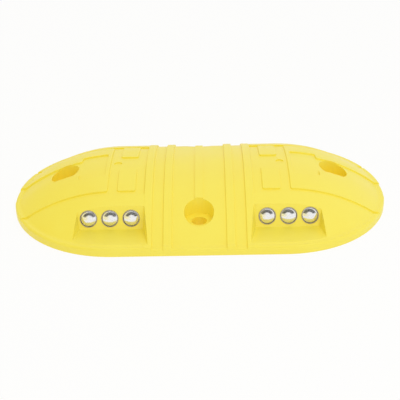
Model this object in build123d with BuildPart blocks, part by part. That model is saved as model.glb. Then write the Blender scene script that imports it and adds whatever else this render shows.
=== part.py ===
from build123d import *
import os
from math import acos, ceil, cos, degrees, hypot, radians, sin, sqrt, tan

# Low stadium-shaped road stud: one domed plastic moulding that is bolted flat to the road, with glass
# lenses in mirrored cups along both long sides. Millimetres, +Z up, origin under the middle of the base,
# +X along the stud's length. Front is -Y, right is +X.

# Overall form
length = 420.0
width = 239.0
crown_height = 48.8
rim_height = 9.4
ledge_width = 6.0
rim_round = 3.0
ledge_round = 6.0

# Relief, measured square to the dome from the level of the pads
floor_drop = 1.7
rib_rise = 0.4
strip_drop = 0.2
relief_round = 0.6

# Middle band: transverse ribs and the strip between the side holes
rib_width = 8.9
inner_rib_x = 33.3
outer_rib_x = 54.4
strip_width = 8.8

# Pads and grooves of each end half, placed outwards from the outer rib
rib_pad_gap = 10.0
pad_length = 19.6
pad_bar_gap = 10.8
bar_width = 4.5
recess_length = 29.8
channel_width = 30.0
recess_width = 51.4
skirt_width = 63.2
groove_width = 4.5
pad_corner = 2.0
dimple_offset = 2.5
dimple_diameter = 9.0
dimple_depth = 1.2

# Anchor holes, placed from the rim
anchor_diameter = 16.5
counterbore_diameter = 32.0
end_hole_inset = 58.4
side_hole_inset = 40.6
end_seat_height = 18.0
side_seat_height = 17.7

# Lenses and their cups
lens_diameter = 17.0
lens_edge = 1.6
lens_front_rise = 3.4
lens_hollow_rise = 3.0
lens_proud = 0.3
lens_gap = 0.1
cup_wall = 0.7
cup_floor = 0.9
cup_lip_proud = 0.5
cup_gap = 0.05

# Lens pockets, with the land left round the sockets in their back wall
pocket_inset = 45.8
pocket_lean = 20.0
pocket_flare = 12.0
pocket_draft = 9.4
pocket_round = 1.5
lens_row_inset = 114.6
lens_land = 4.1
top_land = 1.0
foot_land = 2.3
inner_side_land = 3.7
outer_side_land = 1.8

# Underside
shell_wall = 5.5
base_rim = 12.0
cell_pitch = 40.0
rib_wall = 3.5
cell_corner = 2.0
boss_wall = 4.5
socket_wall = 4.5
smallest_cell = 2500.0

# Worked out: dome
half_length = length / 2
half_width = width / 2
end_centre = half_length - half_width
dome_rise = crown_height - rim_height
dome_foot = half_width - ledge_width
dome_radius = (dome_foot**2 + dome_rise**2) / (2 * dome_rise)
dome_centre = crown_height - dome_radius

# Worked out: pads and holes
pad_start = outer_rib_x + rib_width / 2 + rib_pad_gap
pad_end = pad_start + pad_length
bar_start = pad_end + pad_bar_gap
recess_start = bar_start + bar_width
groove_outer = half_width - skirt_width
groove_inner = groove_outer - groove_width
end_hole_x = half_length - end_hole_inset
side_hole_y = half_width - side_hole_inset

# Worked out: lenses, cups and the wall that holds them
lens_radius = lens_diameter / 2
cup_bore = lens_radius + lens_gap
cup_radius = cup_bore + cup_wall
socket_radius = cup_radius + cup_gap
lens_back = lens_proud - lens_edge
front_radius = (lens_radius**2 + lens_front_rise**2) / (2 * lens_front_rise)
hollow_radius = (lens_radius**2 + lens_hollow_rise**2) / (2 * lens_hollow_rise)
mirror_radius = hollow_radius - lens_gap
mirror_top = lens_back + lens_hollow_rise - lens_gap
mirror_foot = mirror_top - mirror_radius + sqrt(mirror_radius**2 - cup_bore**2)
cup_bottom = mirror_foot - cup_floor
socket_depth = cup_gap - cup_bottom
lens_pitch = 2 * socket_radius + lens_land
lens_middle_x = half_length - lens_row_inset
row_reach = lens_pitch + socket_radius
lean = radians(pocket_lean)
edge_y = half_width - pocket_inset
edge_run = hypot(max(lens_middle_x + lens_pitch - end_centre, 0), edge_y)
edge_z = dome_centre + sqrt(dome_radius**2 - edge_run**2)
lens_y = edge_y + (top_land + socket_radius) * sin(lean)
lens_z = edge_z - (top_land + socket_radius) * cos(lean)
pocket_floor = lens_z - (socket_radius + foot_land) * cos(lean)

# Tolerance for telling upright faces and faces on a plane
flat_limit = 0.001

os.makedirs("parts", exist_ok=True)


def stadium_solid(half_section):
    # A section in the YZ plane carried along the straight sides and turned about both end centres
    with BuildPart() as solid:
        extrude(half_section.moved(Location((-end_centre, 0, 0))), amount=2 * end_centre, dir=(1, 0, 0))
        mirror(about=Plane.XZ)
        for side in (1, -1):
            end_section = half_section.moved(Location((side * end_centre, 0, 0)))
            revolve(end_section, axis=Axis((side * end_centre, 0, 0), (0, 0, -side)), revolution_arc=180)
    return solid.part


def dome_solid(level):
    # Outer form of the stud, with its dome and ledge moved by level along the dome's radius
    ledge = rim_height + level
    foot_angle = degrees(acos((ledge - dome_centre) / (dome_radius + level)))
    with BuildSketch(Plane.YZ) as section:
        with BuildLine():
            arc = CenterArc((0, dome_centre), dome_radius + level, 90, -foot_angle)
            Polyline(arc @ 1, (half_width, ledge), (half_width, 0), (0, 0), arc @ 0)
        make_face()
        fillet(section.vertices().group_by(Axis.Y)[-2].sort_by(Axis.X)[-1], radius=rim_round)
        fillet(section.vertices().group_by(Axis.Y)[-2].sort_by(Axis.X)[0], radius=ledge_round)
    return stadium_solid(section.sketch)


def hollow_solid():
    # Inside of the dome, a wall's thickness within it, with an upright side inside the base rim
    radius = dome_radius - shell_wall
    reach = half_width - base_rim
    side_angle = degrees(acos(sqrt(radius**2 - reach**2) / radius))
    with BuildSketch(Plane.YZ) as section:
        with BuildLine():
            arc = CenterArc((0, dome_centre), radius, 90, -side_angle)
            Polyline(arc @ 1, (reach, 0), (0, 0), arc @ 0)
        make_face()
    return stadium_solid(section.sketch)


def plan_rectangle(x_low, x_high, y_low, y_high, mode=Mode.ADD):
    with Locations(((x_low + x_high) / 2, (y_low + y_high) / 2)):
        return Rectangle(x_high - x_low, y_high - y_low, mode=mode)


def on_rim(face):
    # Whether an upright face is part of the rim, by the distance of its middle from the stud's centre line
    middle = face.position_at(0.5, 0.5)
    return hypot(max(abs(middle.X) - end_centre, 0), middle.Y) > half_width - flat_limit


def upper_edges(side_faces):
    # Edges round the top of a relief piece, along its upright sides
    above_base = side_faces.edges().filter_by(lambda edge: edge.center().Z > rim_height / 2)
    return above_base.filter_by(Axis.Z, reverse=True)


def pocket_corners(z):
    # Plan of the pocket at one height, from its leaning back wall to past the rim. Its sides spread
    # towards the rim by the flare and towards the top by the draft.
    back_y = lens_y - (z - lens_z) * tan(lean)
    rim_y = half_width + ledge_width
    draft = (z - lens_z) * tan(radians(pocket_draft))
    corners = []
    for y in (back_y, rim_y):
        spread = draft + (y - lens_y) * tan(radians(pocket_flare))
        inner_x = lens_middle_x - row_reach - inner_side_land - spread
        outer_x = lens_middle_x + row_reach + outer_side_land + spread
        corners.append([(inner_x, y), (outer_x, y)])
    back, rim = corners
    return back + rim[::-1]


def wall_normal(side):
    # Outward direction of the pocket's back wall on the back (1) or front (-1) of the stud
    return Vector(0, side * cos(lean), sin(lean))


pad_dome = dome_solid(0)
floor_dome = dome_solid(-floor_drop)
rib_dome = dome_solid(rib_rise)
strip_dome = dome_solid(-strip_drop)
inner_dome = hollow_solid()

# Transverse ribs of the middle band
with BuildPart() as ribs:
    with BuildSketch():
        with Locations(*[(side * x, 0) for side in (1, -1) for x in (inner_rib_x, outer_rib_x)]):
            Rectangle(rib_width, width)
    extrude(amount=crown_height + rib_rise)
    add(rib_dome, mode=Mode.INTERSECT)
    fillet(upper_edges(ribs.faces().filter_by(Axis.X)), radius=relief_round)

# Pads, panels and skirts of the two end halves
with BuildPart() as pads:
    with BuildSketch() as pad_plan:
        plan_rectangle(pad_start, pad_end, channel_width / 2, groove_inner)
        plan_rectangle(bar_start, half_length, 0, groove_inner)
        plan_rectangle(recess_start, half_length, 0, channel_width / 2, mode=Mode.SUBTRACT)
        plan_rectangle(recess_start, recess_start + recess_length, 0, recess_width / 2, mode=Mode.SUBTRACT)
        plan_rectangle(outer_rib_x, half_length, groove_outer, half_width)
        mirror(about=Plane.XZ)
        mirror(about=Plane.YZ)
        corners = pad_plan.vertices().filter_by(lambda corner: outer_rib_x < abs(corner.X) < half_length)
        fillet(corners, radius=pad_corner)
    extrude(amount=crown_height)
    add(pad_dome, mode=Mode.INTERSECT)
    upright = pads.faces().filter_by(lambda face: abs(face.normal_at().Z) < flat_limit)
    shown = upright.filter_by(lambda face: abs(face.center().X) > outer_rib_x + flat_limit)
    fillet(upper_edges(shown.filter_by(on_rim, reverse=True)), radius=relief_round)

# Low strip over the crown between the side holes
with BuildPart() as strip:
    with BuildSketch():
        Rectangle(strip_width, 2 * side_hole_y)
    extrude(amount=crown_height)
    add(strip_dome, mode=Mode.INTERSECT)

# The four lens pockets, open towards the rim
with BuildPart() as pockets:
    for z in (pocket_floor, crown_height):
        with BuildSketch(Plane.XY.offset(z)):
            with BuildLine():
                Polyline(*pocket_corners(z), close=True)
            make_face()
    loft(ruled=True)
    fillet(pockets.faces().sort_by(Axis.Z)[0].edges().sort_by(Axis.Y)[:-1], radius=pocket_round)
    mirror(about=Plane.XZ)
    mirror(about=Plane.YZ)

# The twelve sockets for the cups, square to the back walls of the pockets
with BuildPart() as sockets:
    for side in (1, -1):
        with BuildSketch(Plane((0, side * lens_y, lens_z), x_dir=(1, 0, 0), z_dir=wall_normal(side))):
            with Locations((lens_middle_x, 0), (-lens_middle_x, 0)):
                with GridLocations(lens_pitch, 0, 3, 1):
                    Circle(socket_radius)
        extrude(amount=-socket_depth)

# Room for the sockets and the material round them, which the underside cells leave solid
with BuildPart() as socket_blocks:
    with BuildSketch():
        block_inner = lens_y - socket_depth * cos(lean) - socket_radius * sin(lean) - socket_wall
        block_reach = row_reach + inner_side_land + socket_wall
        plan_rectangle(lens_middle_x - block_reach, lens_middle_x + block_reach, block_inner, half_width)
        mirror(about=Plane.XZ)
        mirror(about=Plane.YZ)
    extrude(amount=crown_height)

# Underside cells between ribs, kept clear of the anchor holes
with BuildPart() as cells:
    with BuildSketch():
        columns = 2 * ceil(half_length / cell_pitch)
        rows = 2 * ceil(half_width / cell_pitch) - 1
        with GridLocations(cell_pitch, cell_pitch, columns, rows):
            RectangleRounded(cell_pitch - rib_wall, cell_pitch - rib_wall, cell_corner)
    extrude(amount=crown_height)
    add(inner_dome, mode=Mode.INTERSECT)
    add(socket_blocks.part, mode=Mode.SUBTRACT)
    with Locations((end_hole_x, 0), (-end_hole_x, 0), (0, side_hole_y), (0, -side_hole_y)):
        Cylinder(counterbore_diameter / 2 + boss_wall, 2 * crown_height, mode=Mode.SUBTRACT)
open_cells = cells.solids().filter_by(lambda cell: cell.volume > smallest_cell)

# Body moulding
with BuildPart() as body_shell:
    add([floor_dome, pads.part, ribs.part, strip.part])
    with Locations((end_hole_x, 0, crown_height), (-end_hole_x, 0, crown_height)):
        CounterBoreHole(anchor_diameter / 2, counterbore_diameter / 2, crown_height - end_seat_height)
    with Locations((0, side_hole_y, crown_height), (0, -side_hole_y, crown_height)):
        CounterBoreHole(anchor_diameter / 2, counterbore_diameter / 2, crown_height - side_seat_height)
    dimple_x = pad_end + dimple_offset
    with Locations((dimple_x, 0, crown_height), (-dimple_x, 0, crown_height)):
        Hole(dimple_diameter / 2, depth=floor_drop + dimple_depth)
    add([pockets.part, sockets.part], mode=Mode.SUBTRACT)
    add(open_cells, mode=Mode.SUBTRACT)
body_shell.part.label = "body_shell"
export_step(body_shell.part, "parts/body_shell.step")

# Lenses and cups: side and end of the stud, then the place in the row from the middle outwards. Each lens is
# a clear dome with a hollow back, and the mirrored floor of its cup rises into the hollow.
for side, side_name in ((-1, "front"), (1, "back")):
    for end, end_name in ((-1, "left"), (1, "right")):
        for place in (1, 2, 3):
            name = f"{side_name}_{end_name}_{place}"
            normal = wall_normal(side)
            centre = Vector(end * (lens_middle_x + (place - 2) * lens_pitch), side * lens_y, lens_z)
            section_plane = Plane(centre, x_dir=(1, 0, 0), z_dir=Vector(1, 0, 0).cross(normal))

            with BuildPart() as lens:
                with BuildSketch(section_plane):
                    with BuildLine():
                        tip = (0, lens_proud + lens_front_rise)
                        tail = (0, lens_back + lens_hollow_rise)
                        RadiusArc((lens_radius, lens_proud), tip, -front_radius)
                        Line(tip, tail)
                        RadiusArc(tail, (lens_radius, lens_back), hollow_radius)
                        Line((lens_radius, lens_back), (lens_radius, lens_proud))
                    make_face()
                revolve(axis=Axis(centre, normal))
            lens.part.label = f"lens_{name}"
            export_step(lens.part, f"parts/lens_{name}.step")

            with BuildPart() as cup:
                with BuildSketch(section_plane):
                    with BuildLine():
                        RadiusArc((0, mirror_top), (cup_bore, mirror_foot), mirror_radius)
                        Polyline((cup_bore, mirror_foot), (cup_bore, cup_lip_proud), (cup_radius, cup_lip_proud),
                                 (cup_radius, cup_bottom), (0, cup_bottom), (0, mirror_top))
                    make_face()
                revolve(axis=Axis(centre, normal))
            cup.part.label = f"cup_{name}"
            export_step(cup.part, f"parts/cup_{name}.step")
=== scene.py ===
from math import cos, radians, sin, sqrt

import bmesh
import bpy
from mathutils import Matrix, Vector


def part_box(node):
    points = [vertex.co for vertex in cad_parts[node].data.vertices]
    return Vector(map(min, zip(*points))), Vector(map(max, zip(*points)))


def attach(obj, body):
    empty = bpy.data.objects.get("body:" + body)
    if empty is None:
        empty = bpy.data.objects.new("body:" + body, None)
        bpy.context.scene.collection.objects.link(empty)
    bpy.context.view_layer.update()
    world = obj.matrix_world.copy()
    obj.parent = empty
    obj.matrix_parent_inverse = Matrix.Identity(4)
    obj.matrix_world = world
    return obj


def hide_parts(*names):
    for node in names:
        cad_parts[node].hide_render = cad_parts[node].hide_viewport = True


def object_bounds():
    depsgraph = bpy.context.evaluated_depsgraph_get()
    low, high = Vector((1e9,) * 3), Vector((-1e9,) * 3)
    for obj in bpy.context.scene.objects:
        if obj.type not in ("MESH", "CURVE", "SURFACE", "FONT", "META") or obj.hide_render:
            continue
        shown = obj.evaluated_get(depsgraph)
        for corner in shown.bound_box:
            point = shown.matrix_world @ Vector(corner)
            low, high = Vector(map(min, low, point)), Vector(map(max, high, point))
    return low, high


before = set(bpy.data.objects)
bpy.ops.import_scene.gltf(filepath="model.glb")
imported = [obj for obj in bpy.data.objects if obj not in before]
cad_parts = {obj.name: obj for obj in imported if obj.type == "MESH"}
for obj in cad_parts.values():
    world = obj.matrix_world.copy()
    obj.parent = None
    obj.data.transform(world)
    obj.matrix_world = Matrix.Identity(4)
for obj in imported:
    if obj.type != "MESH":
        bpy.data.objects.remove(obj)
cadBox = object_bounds()
scene = bpy.context.scene
scene.view_settings.view_transform = "Standard"
print("road stud: frame loaded with", len(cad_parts), "nodes")


# small helpers for selecting and closing as by hand

weldReach = 0.000002   # metres within which points are merged


def clearSelection():
    if bpy.context.object and bpy.context.object.mode != "OBJECT":
        bpy.ops.object.mode_set(mode="OBJECT")
    bpy.ops.object.select_all(action="DESELECT")


def pickParts(piece, kind, wanted):
    bpy.ops.mesh.select_mode(type=kind)
    bpy.ops.mesh.select_all(action="DESELECT")
    shape = bmesh.from_edit_mesh(piece.data)
    for part in shape.edges if kind == "EDGE" else shape.faces:
        part.select = wanted(part)
    shape.select_flush_mode()
    bmesh.update_edit_mesh(piece.data)


def pickEdges(piece, wanted):
    pickParts(piece, "EDGE", lambda edge: all(wanted(v.co) for v in edge.verts))


def roundEdges(piece, wanted, size, steps):
    pickEdges(piece, wanted)
    bpy.ops.mesh.bevel(offset=size, segments=steps, affect="EDGES")


def closePiece(piece, angle):
    bpy.ops.mesh.select_all(action="SELECT")
    bpy.ops.mesh.remove_doubles(threshold=weldReach)
    bpy.ops.mesh.normals_make_consistent(inside=False)
    bpy.ops.object.mode_set(mode="OBJECT")
    bpy.ops.object.shade_smooth_by_angle(angle=radians(angle))


# glass lens: a clear dome with a hollow back and a short ground edge, made on the Z axis

lensShape = {
    "edgeRadius": 0.0085,
    "frontRise": 0.0034,
    "hollowRise": 0.0030,
    "edgeTop": 0.0003,
    "edgeFoot": -0.0013,
    "edgeRound": 0.0002,
    "edgeSteps": 3,
    "segments": 72,
    "rings": 48,
    "smoothAngle": 60.0,     # degrees between faces that still shade as one
    "rimShare": 0.98,        # of the radius, from where an edge belongs to the rim
    "pickReach": 0.000005,   # metres from a level that still count as on it
}


def capRadius(rise):
    return (lensShape["edgeRadius"] ** 2 + rise ** 2) / (2 * rise)


def addCap(rise, level):
    radius = capRadius(rise)
    bpy.ops.mesh.primitive_uv_sphere_add(
        segments=lensShape["segments"], ring_count=lensShape["rings"], radius=radius,
        location=(0, 0, level + rise - radius))
    if bpy.context.mode == "OBJECT":  # the first cap makes the object, the second joins its mesh
        bpy.ops.object.transform_apply(location=True, rotation=True, scale=True)
        bpy.ops.object.mode_set(mode="EDIT")
    bpy.ops.mesh.bisect(plane_co=(0, 0, level), plane_no=(0, 0, 1), clear_inner=True)
    bpy.ops.mesh.select_all(action="DESELECT")


def modelLens():
    values = lensShape
    top, foot = values["edgeTop"], values["edgeFoot"]
    rim, near = values["edgeRadius"] * values["rimShare"], values["pickReach"]

    def onRim(co, *levels):
        return co.xy.length > rim and any(abs(co.z - level) < near for level in levels)

    clearSelection()
    addCap(values["frontRise"], top)
    lens = bpy.context.object
    lens.name = "lensMaster"
    addCap(values["hollowRise"], foot)
    pickEdges(lens, lambda co: onRim(co, top, foot))
    bpy.ops.mesh.bridge_edge_loops()
    for level in (top, foot):
        roundEdges(lens, lambda co: onRim(co, level), values["edgeRound"], values["edgeSteps"])
    closePiece(lens, values["smoothAngle"])
    return lens


# mirrored cup: a metal can with a rolled lip, its floor a bright dome that fills the lens's hollow

cupShape = {
    "outerRadius": 0.0093,
    "wall": 0.0007,
    "lipTop": 0.0005,
    "floor": 0.0009,
    "domeGap": 0.0001,
    "lipRound": 0.0002,
    "lipSteps": 4,
    "footRound": 0.0004,
    "footSteps": 3,
    "segments": 72,
    "domeSteps": 24,
    "middleShare": 0.5,      # of a dome step, left for the facets round the middle
    "smoothAngle": 50.0,
    "facingUp": 0.9,         # least upward part of the top face's normal
    "pickReach": 0.00001,
    "markReach": 0.00005,    # metres from the bore that still count as on it
    "markDrop": 0.0002,      # metres from the mirror's foot that still count as on it
}
boreRadius = cupShape["outerRadius"] - cupShape["wall"]
hollowRadius = capRadius(lensShape["hollowRise"])
mirrorRadius = hollowRadius - cupShape["domeGap"]
mirrorCentre = lensShape["edgeFoot"] + lensShape["hollowRise"] - hollowRadius
mirrorFoot = mirrorCentre + sqrt(mirrorRadius ** 2 - boreRadius ** 2)
cupFoot = mirrorFoot - cupShape["floor"]


def modelCup():
    values = cupShape
    top, near = values["lipTop"], values["pickReach"]
    clearSelection()
    bpy.ops.mesh.primitive_cylinder_add(
        vertices=values["segments"], radius=values["outerRadius"], depth=top - cupFoot,
        location=(0, 0, cupFoot + (top - cupFoot) / 2))
    cup = bpy.context.object
    cup.name = "cupMaster"
    bpy.ops.object.transform_apply(location=True, rotation=True, scale=True)
    bpy.ops.object.mode_set(mode="EDIT")
    pickParts(cup, "FACE", lambda face: face.normal.z > values["facingUp"])
    bpy.ops.mesh.inset(thickness=values["wall"])
    bpy.ops.mesh.extrude_region_move(
        TRANSFORM_OT_translate={"value": (0, 0, mirrorFoot - top)})
    step = boreRadius / (values["domeSteps"] + values["middleShare"])
    radius, level = boreRadius, mirrorFoot
    for ring in range(values["domeSteps"]):  # rings of the dome, outside to middle
        radius -= step
        upper = mirrorCentre + sqrt(mirrorRadius ** 2 - radius ** 2)
        bpy.ops.mesh.inset(thickness=step, depth=upper - level)
        level = upper
    bpy.ops.mesh.poke()
    for height, size, steps in ((top, values["lipRound"], values["lipSteps"]),
                                (cupFoot, values["footRound"], values["footSteps"])):
        roundEdges(cup, lambda co: abs(co.z - height) < near, size, steps)
    closePiece(cup, values["smoothAngle"])
    return cup


# the wall mark also says where the painted shade of the ring round each lens goes, and where the
# wall is rougher
def markWall(cup):  # 1 on the can's wall, 0 on its mirror
    reach, drop = cupShape["markReach"], cupShape["markDrop"]
    wallMark = cup.data.attributes.new("wallMark", "FLOAT", "POINT")
    for vertex, mark in zip(cup.data.vertices, wallMark.data):
        out, up = vertex.co.xy.length - boreRadius, vertex.co.z - mirrorFoot
        mark.value = float(out > reach or up < -drop or (out > -reach and up > drop))


lensMaster = modelLens()
print("lens modelled:", len(lensMaster.data.polygons), "faces")
cupMaster = modelCup()
markWall(cupMaster)
print("cup modelled:", len(cupMaster.data.polygons), "faces")


# a copy of both goes where each cup sits in the body

seatValues = {"lean": 20.0}  # degrees that the pocket's wall leans back


def settle(master, name, place, node):
    clearSelection()
    piece = master.copy()
    piece.data = master.data.copy()
    piece.name = name
    piece.data.name = name
    scene.collection.objects.link(piece)
    piece.matrix_world = place
    piece.select_set(True)
    bpy.context.view_layer.objects.active = piece
    bpy.ops.object.transform_apply(location=True, rotation=True, scale=True)
    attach(piece, "root")
    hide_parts(node)
    return piece


lenses, cups = [], []
middleOfCup = (cupShape["lipTop"] + cupFoot) / 2
for side in ("front", "back"):
    turn = radians(90 - seatValues["lean"]) * (1 if side == "front" else -1)
    for end in ("left", "right"):
        for number in (1, 2, 3):
            low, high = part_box(f"cup_{side}_{end}_{number}")
            place = (Matrix.Translation((low + high) / 2) @ Matrix.Rotation(turn, 4, "X")
                     @ Matrix.Translation((0, 0, -middleOfCup)))
            name = f"{side.title()}{end.title()}{number}"
            node = f"{side}_{end}_{number}"
            lenses.append(settle(lensMaster, "lens" + name, place, "lens_" + node))
            cups.append(settle(cupMaster, "cup" + name, place, "cup_" + node))
for master in (lensMaster, cupMaster):
    bpy.data.objects.remove(master)
print("seated", len(lenses), "lenses and", len(cups), "cups")


# node helpers: a value that is another node's socket is linked, any other value is set

nodeSpacing = 200
white = (1.0, 1.0, 1.0, 1.0)


def feed(tree, socket, value):
    if isinstance(value, bpy.types.NodeSocket):
        tree.links.new(value, socket)
    else:
        socket.default_value = value


def setInputs(tree, node, values):
    for key, value in values.items():
        feed(tree, node.inputs[key], value)


def addNode(tree, kind, spot, **values):
    node = tree.nodes.new(kind)
    node.location = (spot[0] * nodeSpacing, spot[1] * -nodeSpacing)
    for key, value in values.items():
        if key in node.inputs:
            feed(tree, node.inputs[key], value)
        else:
            setattr(node, key, value)
    return node


def addMath(tree, spot, operation, first, second):
    node = addNode(tree, "ShaderNodeMath", spot, operation=operation)
    feed(tree, node.inputs[0], first)
    feed(tree, node.inputs[1], second)
    return node.outputs[0]


def addMix(tree, spot, kind, share, first, second):
    node = addNode(tree, "ShaderNodeMix", spot, data_type=kind, Factor=share, A=first, B=second)
    return node.outputs["Result"]


def addRange(tree, spot, value, span=(0.0, 1.0), reach=(0.0, 1.0)):
    node = addNode(tree, "ShaderNodeMapRange", spot, Value=value)
    setInputs(tree, node, {"From Min": span[0], "From Max": span[1],
                           "To Min": reach[0], "To Max": reach[1]})
    return node.outputs["Result"]


def startMaterial(name):
    material = bpy.data.materials.new(name)
    material.use_nodes = True
    tree = material.node_tree
    tree.nodes.clear()
    shader = addNode(tree, "ShaderNodeBsdfPrincipled", (5, 0))
    addNode(tree, "ShaderNodeOutputMaterial", (7, 0), Surface=shader.outputs["BSDF"])
    return material, tree, shader


# node group of two noises blended by a share, with a socket for each noise's scale

def makeNoisePair(name, outcome, share, noises):
    group = bpy.data.node_groups.new(name, "ShaderNodeTree")
    addSocket = group.interface.new_socket
    addSocket(name="Vector", in_out="INPUT", socket_type="NodeSocketVector")
    for label in [noise["scale"] for noise in noises] + [share]:
        addSocket(name=label, in_out="INPUT", socket_type="NodeSocketFloat")
    addSocket(name=outcome, in_out="OUTPUT", socket_type="NodeSocketFloat")
    source = addNode(group, "NodeGroupInput", (-3, 0)).outputs
    result = addNode(group, "NodeGroupOutput", (5, 0))
    layers = []
    for row, noise in enumerate(noises):
        layer = addNode(group, "ShaderNodeTexNoise", (-1, 2 * row - 1), Vector=source["Vector"],
                        Scale=source[noise["scale"]], Detail=noise["detail"],
                        Roughness=noise["roughness"])
        layers.append(layer.outputs["Fac"])
    setInputs(group, result, {outcome: addMix(group, (1, 0), "FLOAT", source[share], *layers)})
    return group


# cloudy tone of a moulding: a slow patchiness with a finer one over it

mottleGroup = makeNoisePair("mouldMottle", "Mask", "Share", (
    {"scale": "Patch", "detail": 3.0, "roughness": 0.55},
    {"scale": "Speck", "detail": 2.0, "roughness": 0.6}))

# fine grain of a tool-finished surface: tight grain with slow waves under it

grainGroup = makeNoisePair("toolGrain", "Height", "Waviness", (
    {"scale": "Grain", "detail": 2.0, "roughness": 0.6},
    {"scale": "Wave", "detail": 1.0, "roughness": 0.4}))
print("node groups built")


# texture of every material: bump from the grain, and the mottle's mask handed back

def addTexture(tree, shader, values):
    place = addNode(tree, "ShaderNodeTexCoord", (-2, 0)).outputs["Object"]
    mottle = addNode(tree, "ShaderNodeGroup", (0, -1), node_tree=mottleGroup,
                     Vector=place, **values["mottle"])
    grain = addNode(tree, "ShaderNodeGroup", (0, 1), node_tree=grainGroup,
                    Vector=place, **values["grain"])
    bump = addNode(tree, "ShaderNodeBump", (2, 1), Height=grain.outputs["Height"],
                   Strength=values["bumpStrength"], Distance=values["bumpDepth"])
    setInputs(tree, shader, {"Normal": bump.outputs["Normal"]})
    return mottle.outputs["Mask"]


# yellow moulded plastic of the body

plasticValues = {
    "paler": (0.992, 0.865, 0.1, 1.0),
    "deeper": (0.987, 0.84, 0.08, 1.0),
    "span": (0.35, 0.65),    # of the mottle, over which tone and roughness change
    "rough": (0.36, 0.5),
    "ior": 1.7,
    "mottle": {"Patch": 28.0, "Speck": 420.0, "Share": 0.3},
    "grain": {"Grain": 1600.0, "Wave": 40.0, "Waviness": 0.55},
    "bumpStrength": 0.35,
    "bumpDepth": 0.00025,
}


def makePlastic():
    values = plasticValues
    material, tree, shader = startMaterial("studYellow")
    mask = addTexture(tree, shader, values)
    tone = addNode(tree, "ShaderNodeValToRGB", (2, -1), Fac=mask)
    stops = tone.color_ramp.elements
    stops[0].position, stops[1].position = values["span"]
    stops[0].color, stops[1].color = values["deeper"], values["paler"]
    rough = addRange(tree, (2, 0), mask, values["span"], values["rough"])
    setInputs(tree, shader, {"Base Color": tone.outputs["Color"], "Roughness": rough,
                             "IOR": values["ior"]})
    return material


# clear pressed glass of the lenses

glassValues = {
    "tint": white,
    "shade": (0.98, 0.985, 0.985, 1.0),
    "ior": 1.52,
    "roughness": 0.02,
    "mottle": {"Patch": 90.0, "Speck": 900.0, "Share": 0.35},
    "grain": {"Grain": 700.0, "Wave": 160.0, "Waviness": 0.8},
    "bumpStrength": 0.08,
    "bumpDepth": 0.0002,
}


def makeGlass():
    values = glassValues
    material, tree, shader = startMaterial("lensGlass")
    mask = addTexture(tree, shader, values)
    tone = addMix(tree, (2, -1), "RGBA", mask, values["tint"], values["shade"])
    setInputs(tree, shader, {"Base Color": tone, "Roughness": values["roughness"],
                             "IOR": values["ior"], "Transmission Weight": 1.0})
    return material


# silvered metal of the cups, dull on the wall and the lip; the darker brown colour of the wall and
# lip is painted shade for the dark ring round each lens

mirrorValues = {
    "bright": (0.99, 0.975, 0.98, 1.0),
    "dull": (0.95, 0.945, 0.94, 1.0),
    # painted shade: darker brown on the wall and lip, for the shadowed ring round each lens
    "wall": (0.55, 0.47, 0.34, 1.0),
    "rough": (0.1, 0.45),    # on the mirror and on the wall
    "metallic": 0.82,
    "mottle": {"Patch": 120.0, "Speck": 1500.0, "Share": 0.5},
    "grain": {"Grain": 2500.0, "Wave": 300.0, "Waviness": 0.5},
    "bumpStrength": 0.05,
    "bumpDepth": 0.0001,
}


def makeMirror():
    values = mirrorValues
    material, tree, shader = startMaterial("cupSilver")
    mask = addTexture(tree, shader, values)
    mark = addNode(tree, "ShaderNodeAttribute", (0, 0), attribute_name="wallMark").outputs["Fac"]
    silver = addMix(tree, (2, -1), "RGBA", mask, values["bright"], values["dull"])
    # the wall and lip take the darker brown, painted shade for the ring round each lens
    tone = addMix(tree, (3, -1), "RGBA", mark, silver, values["wall"])
    rough = addRange(tree, (3, 0), mark, reach=values["rough"])
    setInputs(tree, shader, {"Base Color": tone, "Roughness": rough,
                             "Metallic": values["metallic"]})
    return material


def dress(piece, material):
    piece.data.materials.clear()
    piece.data.materials.append(material)


studYellow, lensGlass, cupSilver = makePlastic(), makeGlass(), makeMirror()
dress(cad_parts["body_shell"], studYellow)
for lens in lenses:
    dress(lens, lensGlass)
for cup in cups:
    dress(cup, cupSilver)
print("materials set")


# pale floor that shows white and keeps a faint shadow

floorValues = {
    "size": 14.0,
    "colour": (0.96, 0.96, 0.96, 1.0),
    "roughness": 0.9,
    "seenGlow": 0.9,         # share of plain white where the floor is seen or mirrored
}


def makeFloorPale():
    values = floorValues
    material, tree, shader = startMaterial("floorPale")
    setInputs(tree, shader, {"Base Color": values["colour"], "Roughness": values["roughness"],
                             "Specular IOR Level": 0.0})
    path = addNode(tree, "ShaderNodeLightPath", (1, 2)).outputs
    seen = path["Is Camera Ray"]
    for column, ray in ((2, "Is Glossy Ray"), (3, "Is Transmission Ray")):
        seen = addMath(tree, (column, 2), "MAXIMUM", seen, path[ray])
    glow = addNode(tree, "ShaderNodeEmission", (5, 2))
    mixed = addNode(tree, "ShaderNodeMixShader", (6, 1))
    feed(tree, mixed.inputs[0], addMath(tree, (4, 2), "MULTIPLY", seen, values["seenGlow"]))
    feed(tree, mixed.inputs[1], shader.outputs["BSDF"])
    feed(tree, mixed.inputs[2], glow.outputs["Emission"])
    setInputs(tree, tree.nodes["Material Output"], {"Surface": mixed.outputs["Shader"]})
    return material


clearSelection()
bpy.ops.mesh.primitive_plane_add(size=floorValues["size"], location=(0, 0, cadBox[0][2]))
floor = bpy.context.object
floor.name = "floor"
dress(floor, makeFloorPale())


# soft studio light: a white room with a warm left side, and a large lamp at the front right

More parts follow.
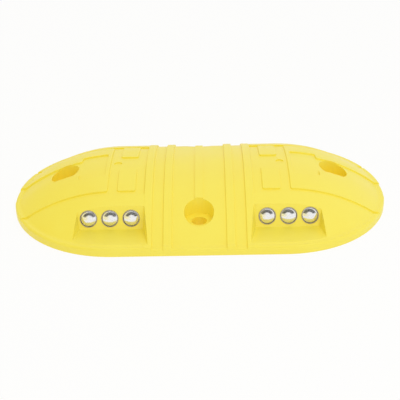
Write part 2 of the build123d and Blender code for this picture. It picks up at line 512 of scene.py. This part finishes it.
lightValues = {
    "room": 0.77,
    "bounces": 12,           # of diffuse light, so that it reaches down into the anchor holes
    "keyPower": 3.6,
    "keySize": 0.6,
    "keyPlace": (0.52, -0.75, 1.15),
    "archRise": 11.0,        # degrees up to the middle of the mirrored dark arch behind the camera
    "archInner": 27.5,       # degrees from that middle
    "archOuter": 51.0,
    "archSoft": 3.0,
    "archFoot": 0.15,        # height over that middle at which the arch starts, as a sine
    "archFootSoft": 0.12,
    "archLevel": 0.06,
    "warmTint": (1.06, 0.96, 0.5, 1.0),
    "warmSpan": (-0.05, -0.6),   # leftward heading from where to where the tint sets in
}


def makeRoom():
    values = lightValues
    world = bpy.data.worlds.new("whiteRoom")
    world.use_nodes = True
    tree = world.node_tree
    tree.nodes.clear()
    path = addNode(tree, "ShaderNodeLightPath", (0, 0)).outputs
    heading = addNode(tree, "ShaderNodeTexCoord", (-2, 2)).outputs["Generated"]

    # the arch lies between two cones round the axis ahead, and over its foot
    rise, soft = radians(values["archRise"]), values["archSoft"]
    inner, outer, foot = values["archInner"], values["archOuter"], values["archFoot"]
    ahead, above = (0.0, -cos(rise), sin(rise)), (0.0, sin(rise), cos(rise))
    spans = ((ahead, (cos(radians(inner - soft)), cos(radians(inner + soft)))),
             (ahead, (cos(radians(outer + soft)), cos(radians(outer - soft)))),
             (above, (foot, foot + values["archFootSoft"])))
    edges = []
    for row, (axis, span) in enumerate(spans, 2):
        along = addNode(tree, "ShaderNodeVectorMath", (-1, row), operation="DOT_PRODUCT")
        feed(tree, along.inputs[0], heading)
        feed(tree, along.inputs[1], axis)
        edges.append(addRange(tree, (0, row), along.outputs["Value"], span))
    inRing = addMath(tree, (1, 2), "MULTIPLY", edges[0], edges[1])
    inArch = addMath(tree, (2, 2), "MULTIPLY", inRing, edges[2])
    archLevel = addRange(tree, (3, 2), inArch, reach=(1.0, values["archLevel"]))

    # only mirrored rays meet the arch, and the camera sees plain white
    mirrored = addMath(tree, (1, 0), "MAXIMUM", path["Is Glossy Ray"], path["Is Transmission Ray"])
    level = addMix(tree, (4, 1), "FLOAT", mirrored, values["room"], archLevel)
    strength = addMix(tree, (5, 1), "FLOAT", path["Is Camera Ray"], level, 1.0)
    across = addNode(tree, "ShaderNodeSeparateXYZ", (-1, 1), Vector=heading).outputs["X"]
    warmth = addRange(tree, (0, 1), across, values["warmSpan"])
    tint = addMix(tree, (2, 1), "RGBA", warmth, white, values["warmTint"])
    colour = addMix(tree, (5, 0), "RGBA", path["Is Camera Ray"], tint, white)
    room = addNode(tree, "ShaderNodeBackground", (6, 0), Color=colour, Strength=strength)
    addNode(tree, "ShaderNodeOutputWorld", (7, 0), Surface=room.outputs["Background"])
    return world


scene.world = makeRoom()
clearSelection()
bpy.ops.object.light_add(type="AREA", location=lightValues["keyPlace"])
key = bpy.context.object
key.name = "keyLamp"
key.data.energy = lightValues["keyPower"]
key.data.size = lightValues["keySize"]
key.visible_glossy = False   # the mirrors show the room, not the lamp
key.visible_transmission = False
key.rotation_euler = Vector(lightValues["keyPlace"]).to_track_quat("Z", "Y").to_euler()
scene.cycles.diffuse_bounces = lightValues["bounces"]
print("floor and light set")


# camera at the photograph's angle

cameraValues = {
    "place": (0.01062, -0.89294, 0.50644),
    "down": 29.559,          # degrees that it looks down
    "aside": 0.681,
    "roll": -1.319,
    "lens": 80.08,           # millimetres, on the sensor width below
    "sensor": 36.0,
    "shift": (0.00098, -0.00305),
    "nearest": 0.01,
}

clearSelection()
bpy.ops.object.camera_add(location=cameraValues["place"])
camera = bpy.context.object
camera.name = "photoCamera"
camera.rotation_euler = (Matrix.Rotation(radians(cameraValues["aside"]), 3, "Z")
                         @ Matrix.Rotation(radians(90 - cameraValues["down"]), 3, "X")
                         @ Matrix.Rotation(radians(cameraValues["roll"]), 3, "Z")).to_euler()
camera.data.sensor_fit = "HORIZONTAL"
camera.data.sensor_width = cameraValues["sensor"]
camera.data.lens = cameraValues["lens"]
camera.data.shift_x, camera.data.shift_y = cameraValues["shift"]
camera.data.clip_start = cameraValues["nearest"]
scene.camera = camera
print("camera set")
